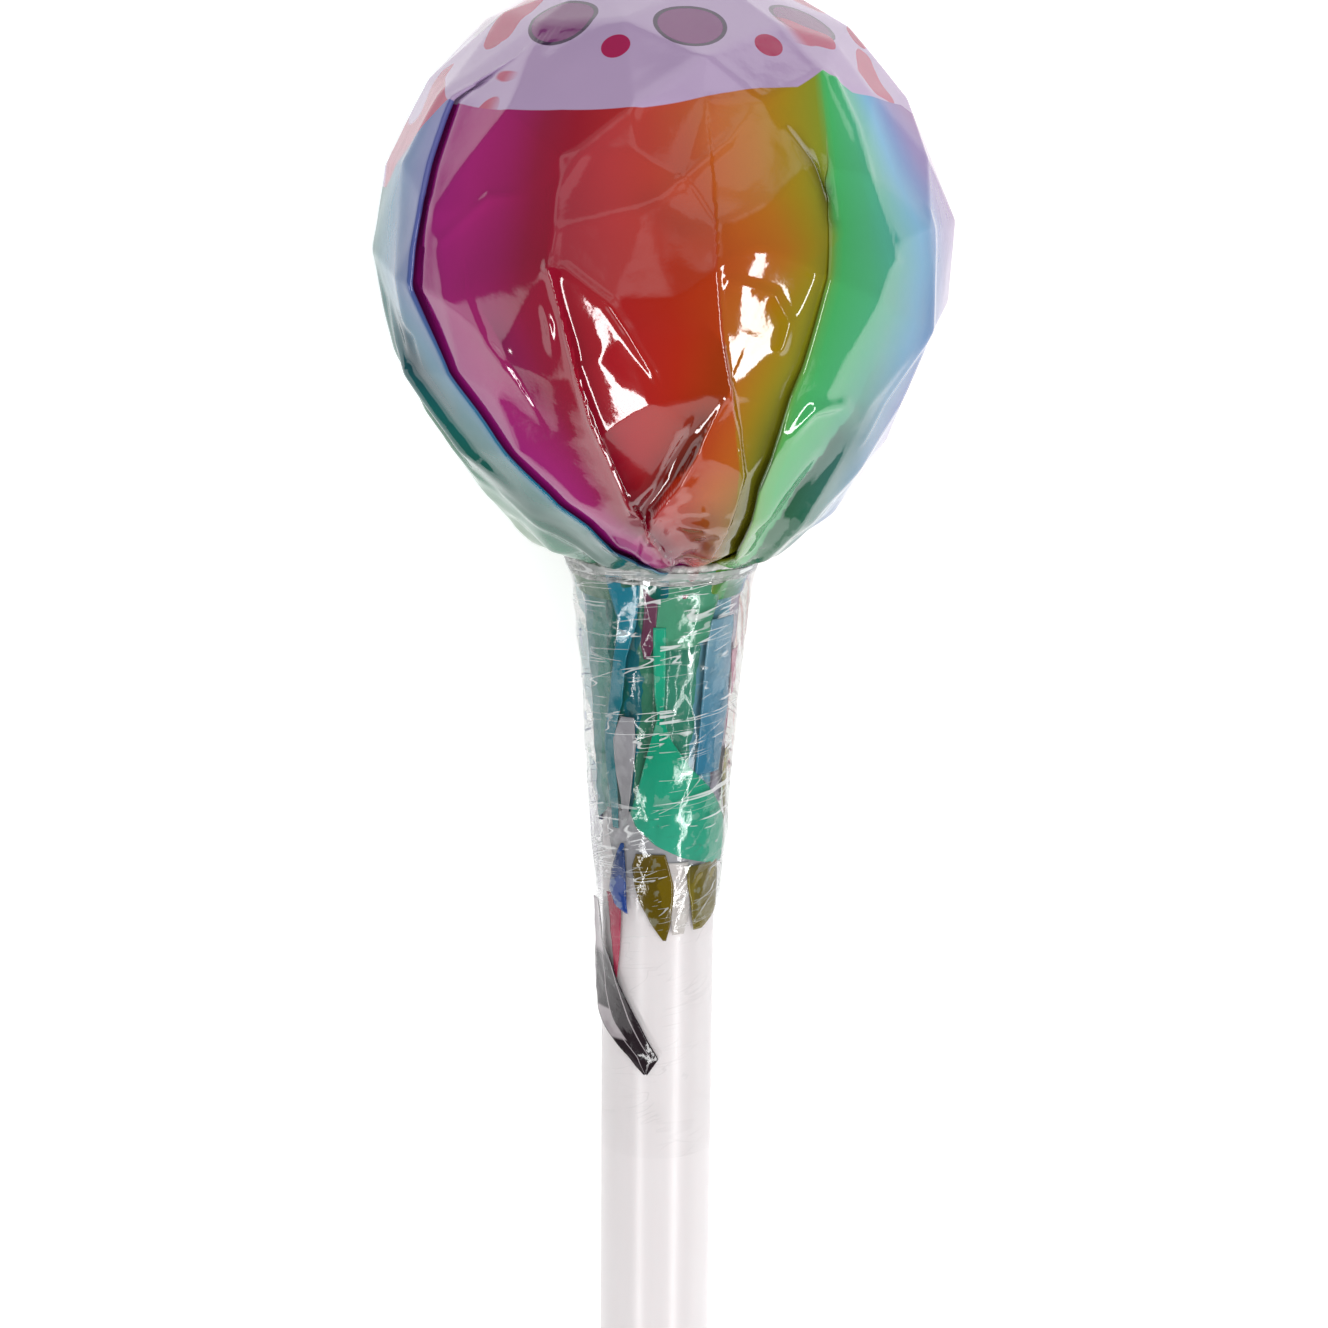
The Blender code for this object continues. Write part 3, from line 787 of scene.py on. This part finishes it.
def printed_film():
    film = Finish("printed_film", IOR=1.8)
    along, below = film.map("print")
    rainbow = film.ramp(RAINBOW, PRINT_FROM, PRINT_TO - PRINT_FROM, along)
    cloud = film.noise(9 * MM, 1)
    lavender = film.mix(cloud, srgb(180, 156, 194), srgb(190, 164, 200))

    # Round marks on the cap: rings of plain discs, measured in mm from the lollipop's own middle line.
    place = film.add("ShaderNodeTexCoord", out="Object")
    laid = {0: place, "Location": tuple(MIDDLE), "Rotation": (TILT, 0, 0)}
    own = film.add("ShaderNodeMapping", {"vector_type": "TEXTURE"}, laid)
    aside = film.add("ShaderNodeSeparateXYZ", None, {0: own}, out="X")
    upwards, front = aside.other("Y"), aside.other("Z")
    ring = (aside * aside + front * front).power(0.5)
    turned = aside.turn_from(front) / math.tau + 0.5

    def discs(count, from_top, radius, shift):
        """How many radii away the nearest of a ring of discs is."""
        beside = ((turned * count + shift).fraction() - 0.5) * ring * (math.tau / count)
        level = ring.turn_from(upwards) - math.radians(from_top)
        beyond = level * (BALL_RADIUS * MM)
        return (beside * beside + beyond * beyond).power(0.5) / (radius * MM)

    large, small, top = discs(8, 36.0, 3.7, 0.32), discs(8, 42.5, 1.5, 0.82), discs(5, 15.0, 3.0, 0.2)
    mauve = film.mix(cloud, srgb(112, 40, 104), srgb(136, 66, 126))
    cap = film.mix(large.between(1.0, 0.97), lavender, srgb(58, 30, 68))
    cap = film.mix(large.between(0.88, 0.85), cap, mauve)
    cap = film.mix(small.between(1.0, 0.95), cap, srgb(170, 26, 84))
    cap = film.mix(top.between(1.0, 0.96), cap, srgb(170, 30, 90))
    # Splashes of berry red at both sides of the shown face.
    aside_share = (aside.size() / ring).between(0.62, 0.7)
    blots = film.noise(7 * MM, 1).between(0.53, 0.545)
    cap = film.mix(aside_share * blots, cap, srgb(178, 40, 92))

    edge = below.between(0.499, 0.502)
    printed = film.mix(edge, cap, rainbow)
    layers = film.map("layers")[0]
    # Darker towards the neck: lower on the ball the colour loses up to 22% of its brightness.
    printed = film.mix(below.between(0.55, 0.85) * 0.22, printed, (0, 0, 0), "MULTIPLY")
    # Painted shade: the colour is multiplied darker in the folds' hollows and under the lips.
    film.feed("Base Color", film.mix(layers, printed, (0.26, 0.22, 0.26), "MULTIPLY"))
    film.feed("Roughness", film.noise(5 * MM, 3) * 0.07 + 0.03)
    film.bump(film.noise(2.2 * MM, 3), 0.03 * MM)
    return film.material


film_finish = printed_film()
for sheet in (shown_film, wrapped_film):
    finish_piece(sheet, film_finish, "wrapper")

# %% [markdown]
# ## The stick
# An extruded tube of white plastic, softly glossy, with a rounded tip. The CAD solid's flat sides would
# show in the long highlights, so a finer cylinder takes its place, with its tip bevelled.

# %% Model the stick
STICK_SIDES = 160


def make_stick():
    start_clean()
    length = STICK_TIP - STICK_IN_BALL
    middle = (0, -(STICK_TIP + STICK_IN_BALL) / 2, 0)
    bpy.ops.mesh.primitive_cylinder_add(
        vertices=STICK_SIDES, radius=STICK_RADIUS, depth=length, location=middle, rotation=(math.pi / 2, 0, 0)
    )
    rod = bpy.context.object
    rod.name = rod.data.name = "plastic_stick"
    bpy.ops.object.transform_apply(location=True, rotation=True, scale=True)
    tip_points = {v.index for v in rod.data.vertices if v.co.y < -STICK_TIP + MM / 2}
    at_tip = [edge.index for edge in rod.data.edges if tip_points.issuperset(edge.vertices)]
    bpy.ops.object.mode_set(mode="EDIT")
    bpy.ops.mesh.select_all(action="DESELECT")
    bpy.ops.object.mode_set(mode="OBJECT")
    for index in at_tip:
        rod.data.edges[index].select = True
    bpy.ops.object.mode_set(mode="EDIT")
    bpy.ops.mesh.bevel(offset=STICK_ROUNDING, segments=6, affect="EDGES")
    bpy.ops.object.mode_set(mode="OBJECT")
    return rod


def white_plastic():
    plastic = Finish("white_plastic", IOR=1.6, Subsurface_Weight=0.15)
    plastic.shader.inputs["Subsurface Radius"].default_value = (0.004, 0.003, 0.003)
    cloud = plastic.noise(14 * MM, 2)
    plastic.feed("Base Color", plastic.mix(cloud, srgb(217, 211, 212), srgb(223, 218, 219)))
    plastic.feed("Roughness", plastic.noise(3 * MM, 4) * 0.08 + 0.27)
    plastic.bump(plastic.noise(20 * MM, 2), 0.05 * MM)
    return plastic.material


stick = make_stick()
finish_piece(stick, white_plastic(), "stick", 30)

# %% [markdown]
# ## The gathered neck
# Below the ball the film is bunched round the stick, so that strips of many hues show side by side. It
# could be one folded sheet. Here a ribbed sleeve stands for the deeper layers, and each strip on top is
# a sheet of its own, drawn by its left and right edge, so that it has its real outline.

# %% The sleeve of deeper layers
TAPE_ALONG = (31, 32.6, 35, 38, 43, 49, 55, 62, 66, 71, 91, 94, 98)
TAPE_RADIUS = (10.3, 10.2, 9.6, 9.2, 8.7, 8.2, 7.8, 7.35, 6.95, 6.55, 6.2, 6.15, 6.13)
SLEEVE_FROM, SLEEVE_TO = 30.0, 60.5
SLEEVE_UNDER_TAPE = 0.9
SLEEVE_WAVE, SLEEVE_RIBS, SLEEVE_CRUMPLE = 1.5, 0.22, 0.2
# The least distance of each layer from the stick's middle line, in mm.
SLEEVE_LEAST, STRIP_LEAST, STRIP_REST, TAPE_LEAST = 6.1, 6.06, 6.08, 6.12
ROOM_ALONG, ROOM_UNDER_TAPE = (30, 58, 66, 74, 98), (0.65, 0.6, 0.35, 0.2, 0.05)


def tape_radius(along):
    return np.interp(along, TAPE_ALONG, TAPE_RADIUS)


def make_sleeve():
    sheet, across, down = flat_sheet("neck_film", 150, 90)
    around = across * 360
    end = SLEEVE_TO + SLEEVE_WAVE * np.sin(np.radians(3 * around + 40))
    along = SLEEVE_FROM + (end - SLEEVE_FROM) * down
    ribs = np.cos(np.radians(GATHERS * around) + 2 * np.sin(np.radians(2 * around)) + along / 9)
    places = on_stick(np.full_like(around, 8.0), around, along) / MM
    radius = tape_radius(along) - SLEEVE_UNDER_TAPE + SLEEVE_RIBS * (ribs - 1)
    radius += SLEEVE_CRUMPLE * wavering(places, 2.0, 3)
    put_points(sheet, on_stick(np.maximum(radius, SLEEVE_LEAST), around, along))
    put_map(sheet, "neck", across, down)
    merge_doubles(sheet)
    return sheet


NECK_HUES = (
    (0, (58, 136, 112)), (34, (104, 158, 176)), (62, (172, 168, 184)), (90, (150, 66, 108)),
    (120, (184, 76, 56)), (150, (170, 134, 44)), (180, (74, 148, 76)), (215, (44, 136, 148)),
    (250, (104, 114, 172)), (280, (84, 144, 142)), (302, (50, 136, 122)), (320, (20, 104, 96)),
    (336, (20, 108, 120)), (348, (58, 124, 98)),
)


def gathered_film():
    film = Finish("gathered_film", IOR=1.6)
    across, down = film.map("neck")
    twist = film.noise(3 * MM, 2) * 0.05 - 0.025 + down * 0.03
    hues = film.ramp(NECK_HUES, 0, 360, across + twist, hold=True)
    # Painted sheen: pale patches on the creases stand in for light on the crinkled film.
    crease_glints = film.noise(1.6 * MM, 3).between(0.56, 0.62)
    film.feed("Base Color", film.mix(crease_glints * 0.25, hues, srgb(150, 176, 164)))
    film.feed("Roughness", film.noise(2 * MM, 3) * 0.12 + 0.06)
    film.bump(film.noise(1.0 * MM, 4), 0.15 * MM)
    return film.material


finish_piece(make_sleeve(), gathered_film(), "wrapper")

# %% The strips on top
STRIP_CELL = 0.28
STRIP_AT = 7.5
STRIP_WALL = 0.05 * MM
ROOM_FOR_LIFT = 0.3


def make_strip(name, rows, lift, curl=0.0, crumple=0.12, seed=5):
    """A strip of film on the neck: rows of (along in mm, left angle, right angle)."""
    alongs, lefts, rights = np.array(rows, dtype=float).T
    length = alongs[-1] - alongs[0]
    widest = np.radians(max(rights - lefts)) * STRIP_AT
    columns, steps = max(6, round(widest / STRIP_CELL)), max(8, round(length / STRIP_CELL))
    sheet, across, down = flat_sheet(name, columns, steps)
    along = alongs[0] + down * length
    left, right = np.interp(along, alongs, lefts), np.interp(along, alongs, rights)
    around = left + (right - left) * across
    room = np.interp(along, ROOM_ALONG, ROOM_UNDER_TAPE)
    radius = np.maximum(tape_radius(along) - room, STRIP_REST)
    radius += lift * np.minimum(room / ROOM_FOR_LIFT, 1)
    places = on_stick(radius, around, along) / MM
    radius += crumple * wavering(places, 1.7, seed)
    edge = np.minimum(across, 1 - across) * 2
    radius += curl * (1 - edge) ** 2
    put_points(sheet, on_stick(np.maximum(radius, STRIP_LEAST), around, along))
    put_map(sheet, "strip", across, down)
    pick(sheet)
    wall = sheet.modifiers.new("wall", "SOLIDIFY")
    wall.thickness = STRIP_WALL
    wall.offset = 1
    bpy.ops.object.modifier_apply(modifier="wall")
    return sheet


def strip_film(name, colour, second, painted_glint_share=0.2, stripes=None):
    """Film of one hue that changes a little down the strip, with pale glints painted on its creases."""
    film = Finish(name, IOR=1.6)
    across, down = film.map("strip")
    base = film.mix(down.between(0.0, 1.0), srgb(*colour), srgb(*second))
    if stripes:
        base = stripes(film, across, down, base)
    crease_glints = film.noise(1.4 * MM, 3).between(0.6, 0.66)
    # Painted highlights: pale glints on the creases.
    film.feed("Base Color", film.mix(crease_glints * painted_glint_share, base, srgb(190, 205, 200)))
    film.feed("Roughness", film.noise(2 * MM, 3) * 0.1 + 0.05)
    film.bump(film.noise(1.2 * MM, 3), 0.08 * MM)
    return film.material


def dark_stripes(film, across, down, base):
    """The sheet's last corner: a grey start, then black with thin grey lines and one grey patch."""
    thin = ((across * 2.3 + down * 0.9).fraction() - 0.5).size().between(0.045, 0.02)
    patch = (across - 0.22).size().between(0.22, 0.18) * (down - 0.72).size().between(0.09, 0.07)
    start = down.between(0.34, 0.28) * across.between(0.72, 0.62)
    return film.mix((thin + patch + start).at_most(1), base, srgb(164, 156, 160))


STRIPS = (
    ("petrol_strip", ((31.5, -38, -12), (35, -36, -14), (38.4, -30, -17), (42, -36, -25), (47, -42, -30),
     (50.5, -49, -38), (53, -50, -39), (58, -46, -37), (61, -43, -37)), 0.1, (26, 134, 158),
     (24, 124, 132)),
    ("mauve_strip", ((31.5, -12, -2), (36.5, -11, -2), (40.3, -14, -4), (42, -12, -8)), 0.05,
     (124, 84, 104), (104, 50, 78)),
    ("green_strip", ((32, -2, 40), (36, -2, 42), (40, -5, 36), (41, -4, 20)), 0, (84, 156, 124),
     (80, 158, 124)),
    ("bright_strip", ((38.5, -5, 4), (42, -5, 4), (46, -4, 4), (49, -1, 2)), 0.08, (40, 170, 134),
     (34, 170, 134)),
    ("emerald_strip", ((48, -1, 1), (51, -7, 10), (54, -13, 26), (57, -19, 50), (59, -25, 64),
     (60.5, -20, 74), (62.5, -2, 80), (64, 22, 84), (65.4, 60, 78)), 0.18, (20, 156, 120), (56, 168, 138)),
    ("sky_strip", ((38, 38, 62), (41, 35, 64), (47, 34, 68), (51, 33, 64), (55, 31, 60)), 0.06,
     (122, 164, 184), (52, 128, 160)),
    ("grey_film", ((59, -52, -22), (61, -52, -8), (63.5, -48, 34), (65, -44, 62), (66.4, -30, 66),
     (67, 6, 62)), -0.08, (178, 176, 180), (160, 160, 166)),
    ("milky_film", ((64.5, 6, 28), (67, 10, 30), (70, 12, 32), (72.6, 14, 26)), 0.05, (206, 200, 198),
     (190, 184, 180)),
    ("grey_strip", ((48.5, -32, -20), (51.2, -40, -19), (55, -38, -22), (57.5, -34, -25),
     (60, -33, -28)), 0.12, (170, 168, 174), (160, 158, 162)),
    ("pink_strip", ((42, 66, 90), (44, 68, 92), (47, 72, 92)), 0.1, (206, 140, 160), (196, 120, 146)),
    ("olive_edge", ((53, 70, 92), (56, 66, 94), (59, 76, 96), (62, 84, 98)), 0.1, (150, 142, 70),
     (120, 112, 40)),
    ("navy_strip", ((62.5, -34, -31), (65.5, -46, -30), (68, -50, -30), (69.6, -44, -30),
     (70.4, -31, -29)), 0.25, (38, 66, 120), (30, 60, 130)),
    ("crimson_strip", ((68.5, -56, -38), (72, -53, -38), (75, -49, -40), (78, -46, -43)), 0.12,
     (160, 44, 74), (170, 50, 80)),
    ("olive_tip", ((63.5, -20, 6), (65, -24, 10), (67, -22, 14), (69, -17, 14), (71.4, -6, 12),
     (73.2, 5, 8)), 0.2, (104, 86, 14), (96, 80, 12)),
    ("olive_side", ((65, 26, 64), (67, 27, 68), (69, 31, 70), (71, 34, 68), (72.3, 36, 46)), 0.2,
     (108, 96, 22), (116, 104, 36)),
    ("green_back", ((58, 118, 152), (66, 122, 150), (74, 132, 146), (79, 137, 139)), 0.15, (70, 150, 96),
     (60, 140, 90)),
    ("violet_back", ((58, 196, 232), (68, 200, 228), (78, 209, 219), (84, 213, 215)), 0.15,
     (132, 104, 164), (120, 96, 150)),
)

for number, (name, rows, lift, colour, second) in enumerate(STRIPS):
    strip = make_strip(name, rows, lift, seed=5 + number)
    finish_piece(strip, strip_film(name + "_film", colour, second), "wrapper")

DARK_CORNER = (
    (70, -86, -66), (74, -84, -60), (77, -82, -44), (80, -80, -30), (82.5, -72, -17), (84.5, -50, -8),
    (86.5, -28, 2), (88.4, -12, -9),
)
corner = make_strip("dark_corner", DARK_CORNER, 0.35, curl=0.25, crumple=0.1, seed=40)
corner_finish = strip_film("dark_corner_film", (34, 24, 30), (34, 24, 30), 0.1, dark_stripes)
finish_piece(corner, corner_finish, "wrapper")

# %% [markdown]
# ## The clear tape
# Thin clear tape is wound round the neck and the top of the stick. It is crinkled, so it shows as
# bright broken glints. It could be glass, which is slow and dark. Here light passes straight through,
# and the share that is reflected is mixed in: little where the tape lies flat, more on its creases.

# %% The sleeve of tape
TAPE_FROM, TAPE_TO = 32.4, 98.0
TAPE_OVERLAPS, OVERLAP_WIDTH, OVERLAP_HEIGHT = (81.5, 86.8), 0.4, 0.04
FLAT_FROM, FLAT_TO = 64, 76
# Crinkles: their height, how much of it the flat part lacks, and their size, in mm.
LARGE_CRINKLES, SMALL_CRINKLES = (0.11, 0.10, 4.2), (0.06, 0.05, 2.2)
BUNCH_WIDTH, BUNCH_HEIGHT, BUNCH_SIZE, BUNCH_SLANT = 1.4, 0.1, 1.4, 0.4


def creased(points, scale, seed):
    """Sharp ridges and rounded hollows, -1 to 1, as crinkled film has."""
    return 1 - 4 * np.abs(wavering(points, scale, seed))


def make_tape():
    sheet, across, down = flat_sheet("wound_tape", 200, 280)
    around = across * 360
    along = TAPE_FROM + (TAPE_TO - TAPE_FROM) * down
    spin = np.radians(around)
    flat = smooth_step(along, FLAT_FROM, FLAT_TO)

    def on_ring(angle, stretch):
        return np.stack((8 * np.cos(angle), 8 * np.sin(angle), along * stretch), axis=1)

    def crinkles(places, sizes, seed):
        height, lacking, size = sizes
        return (height - lacking * flat) * creased(places, size, seed)

    slanted = on_ring(spin + along / 16, 0.3)
    crinkle = crinkles(on_ring(spin, 0.8), LARGE_CRINKLES, 21) + crinkles(slanted, SMALL_CRINKLES, 22)
    bunched = BUNCH_HEIGHT * creased(slanted, BUNCH_SIZE, 23) + BUNCH_HEIGHT
    bunched = hump(along - TAPE_FROM, BUNCH_WIDTH) * bunched
    wound = sum(
        OVERLAP_HEIGHT * smooth_step(along, edge, edge + OVERLAP_WIDTH) for edge in TAPE_OVERLAPS
    )
    radius = np.maximum(tape_radius(along) + crinkle + bunched + wound, TAPE_LEAST)
    put_points(sheet, on_stick(radius, around, along + BUNCH_SLANT * np.sin(spin) * (1 - down)))
    put_map(sheet, "tape", across, down)
    merge_doubles(sheet)
    return sheet


BASE_SHARE, CREASE_SHARE, MILKY_SHARE, RIM_SHARE, SHINE_SHARE = 0.02, 0.6, 0.12, 0.3, 0.6


def clear_tape():
    """Mostly open, with a mirror share on the creases and a milky share where layers bunch up."""
    tape = Finish("clear_tape", IOR=1.5)
    across, down = tape.map("tape")

    def lines(turns, steps, slant, width):
        """Thin broken lines where a stretched noise passes its middle."""
        where = {0: across * turns + down * slant, 1: down * steps, 2: 0.0}
        field = tape.noise(1, 1, tape.add("ShaderNodeCombineXYZ", None, where))
        return (field - 0.5).size().between(width, width * 0.3)

    broken = tape.noise(3.6 * MM, 1).between(0.46, 0.56)
    slanted = lines(9, 14, 26, 0.012).at_least(lines(5, 3, 44, 0.010)) * broken
    wound = lines(1.4, 17, 3, 0.008) * tape.noise(6 * MM, 1).between(0.50, 0.58)
    crease_glints = slanted.at_least(wound * 0.5)
    milky = tape.noise(4.5 * MM, 2).between(0.55, 0.75)
    # Lower down the tape lies flat on the bare stick, with few creases and a dull shine.
    rim, low, bare = down.between(0.035, 0.0), down.between(0.50, 0.66), down.between(0.54, 0.64)
    share = crease_glints * CREASE_SHARE * (1 - low * 0.9) + milky * MILKY_SHARE * (1 - low * 0.85)
    share = share + (1 - low * 0.8) * BASE_SHARE + rim * RIM_SHARE
    tape.feed("Base Color", tape.mix(milky, srgb(228, 230, 230), srgb(212, 216, 214)))
    tape.bump(tape.noise(1.3 * MM, 2), 0.06 * MM, 0.8)
    tape.feed("Roughness", bare * 0.3 + 0.1)
    tape.feed("Metallic", share.less_than(0.2))
    shine = tape.add("ShaderNodeFresnel", None, {"IOR": 1.5}) * (1 - bare * 0.9)
    total = (share + shine * SHINE_SHARE).at_most(0.95)
    clear = tape.add("ShaderNodeBsdfTransparent", None, {"Color": (0.99, 0.99, 0.99, 1)})
    solid = Value(tape, tape.shader.outputs[0])
    both = tape.add("ShaderNodeMixShader", None, {0: total, 1: clear, 2: solid})
    tape.tree.links.new(both.socket, tape.tree.nodes["Material Output"].inputs["Surface"])
    return tape.material


finish_piece(make_tape(), clear_tape(), "neck_tape")

# %% The bunched rim of the tape
# Each cord: where it lies along the stick, the radius of its ring and its own radius, in mm.
RIM_CORDS = ((32.2, 9.9, 0.42), (33.0, 9.75, 0.34), (33.7, 9.6, 0.26))


def make_rim():
    """Three wavering cords of bunched tape round the top of the neck, joined into one piece."""
    cords = []
    for number, (at, radius, thick) in enumerate(RIM_CORDS):
        start_clean()
        bpy.ops.mesh.primitive_torus_add(
            major_radius=radius * MM, minor_radius=thick * MM, major_segments=180, minor_segments=10,
            location=(0, -at * MM, 0), rotation=(math.pi / 2, 0, 0)
        )
        bpy.ops.object.transform_apply(location=True, rotation=True, scale=True)
        cord = bpy.context.object
        for vertex in cord.data.vertices:
            place = vertex.co / MM
            spin = math.atan2(place.x, place.z)
            wave = noise.noise(Vector((3 * math.sin(spin), 3 * math.cos(spin), 9.0 * number)))
            small = noise.noise(place / 0.8)
            wider = 1 + 0.02 * wave + 0.012 * small
            vertex.co.y += (0.35 * wave + 0.12 * small) * MM
            vertex.co.x *= wider
            vertex.co.z *= wider
        cords.append(cord)
    start_clean()
    for cord in cords:
        cord.select_set(True)
    bpy.context.view_layer.objects.active = cords[0]
    bpy.ops.object.join()
    cords[0].name = cords[0].data.name = "tape_rim"
    return cords[0]


def milky_rim():
    rim = Finish("milky_tape", IOR=1.5, Roughness=0.12)
    streaks = rim.noise(0.9 * MM, 3)
    rim.feed("Base Color", rim.mix(streaks, srgb(170, 168, 166), srgb(236, 234, 232)))
    rim.feed("Alpha", streaks.between(0.35, 0.65) * 0.5 + 0.35)
    rim.bump(rim.noise(0.5 * MM, 3), 0.12 * MM)
    return rim.material


finish_piece(make_rim(), milky_rim(), "neck_tape")

# %% [markdown]
# ## Floor and light
# A pale floor, and soft studio light. Two long, narrow softboxes stand to the left and right of the
# camera and give the crisp highlights, and a fill that no gloss mirrors lights the rest. The room is
# dim, with pale round cards high up, low by the stick and at the left, whose mirror images lie on the
# facets as veils. A dark card above keeps the colours in the middle of the ball deep.

# %% The floor
bpy.ops.mesh.primitive_plane_add(size=6)
floor = bpy.context.object
floor.name = "floor"
pale = Finish("pale_floor", Roughness=0.9, Emission_Strength=0.45)
pale.feed("Base Color", pale.mix(pale.noise(0.4), srgb(246, 246, 246), srgb(250, 250, 250)))
pale.feed("Emission Color", (1, 1, 1))
floor.data.materials.append(pale.material)
print("floor of", round(floor.dimensions.x, 2), "m")

# %% The softboxes
def softbox(name, aside, forward, width, length, power, distance=0.6, mirrored=True):
    """A lamp with a flat front, placed by its angles from straight above the ball, aimed at the ball."""
    lamp = bpy.data.lights.new(name, "AREA")
    lamp.shape = "RECTANGLE"
    lamp.size, lamp.size_y = width, length
    lamp.energy = power
    made = bpy.data.objects.new(name, lamp)
    bpy.context.scene.collection.objects.link(made)
    turn = Matrix.Rotation(math.radians(aside), 4, "Y") @ Matrix.Rotation(math.radians(forward), 4, "X")
    made.matrix_world = Matrix.Translation(MIDDLE) @ turn @ Matrix.Translation((0, 0, distance))
    made.visible_camera = False
    made.visible_glossy = mirrored
    print(name, "at (m)", [round(v, 2) for v in made.matrix_world.translation])


softbox("left_softbox", -38, 49, 0.055, 0.34, 0.7)
softbox("right_softbox", 45, 33, 0.07, 0.36, 0.95)
softbox("diffuse_fill", 9, 12, 0.9, 0.9, 5.8, 0.9, False)

# %% The room
ROOM_LIGHT, DARK_LIGHT = 0.13, 0.03
LOW_LIGHT, HIGH_LIGHT, SIDE_LIGHT = 0.9, 0.75, 1.2
world = bpy.data.worlds.new("studio")
bpy.context.scene.world = world
world.use_nodes = True
room = Nodes(world.node_tree)
direction = room.add("ShaderNodeTexCoord", out="Generated")


def card(where, size, edge):
    """A round card of the room: 1 inside this many degrees of a direction, 0 beyond a soft edge."""
    both = {0: direction, 1: tuple(Vector(where).normalized())}
    towards = room.add("ShaderNodeVectorMath", {"operation": "DOT_PRODUCT"}, both, out="Value")
    return towards.between(math.cos(math.radians(size + edge)), math.cos(math.radians(size)))


clutter = room.noise(0.25, 0.5, direction)
high_light = HIGH_LIGHT * (clutter.between(0.42, 0.56) * 0.5 + 0.5)
strength = ROOM_LIGHT + card((0, 0.574, 0.819), 38, 8) * (high_light - ROOM_LIGHT)
strength = strength + card((0, -0.992, 0.12), 15, 4) * (LOW_LIGHT - ROOM_LIGHT)
strength = strength + card((-0.87, -0.49, 0.06), 13, 5) * (SIDE_LIGHT - ROOM_LIGHT)
strength = strength * (1 - card((0, -0.588, 0.809), 24, 5) * (1 - DARK_LIGHT / ROOM_LIGHT))
backdrop = world.node_tree.nodes["Background"]
room.join(backdrop.inputs["Strength"], strength)
backdrop.inputs["Color"].default_value = (1, 1, 1, 1)
bpy.context.scene.view_settings.view_transform = "Standard"
print(len(world.node_tree.nodes), "nodes light the room")
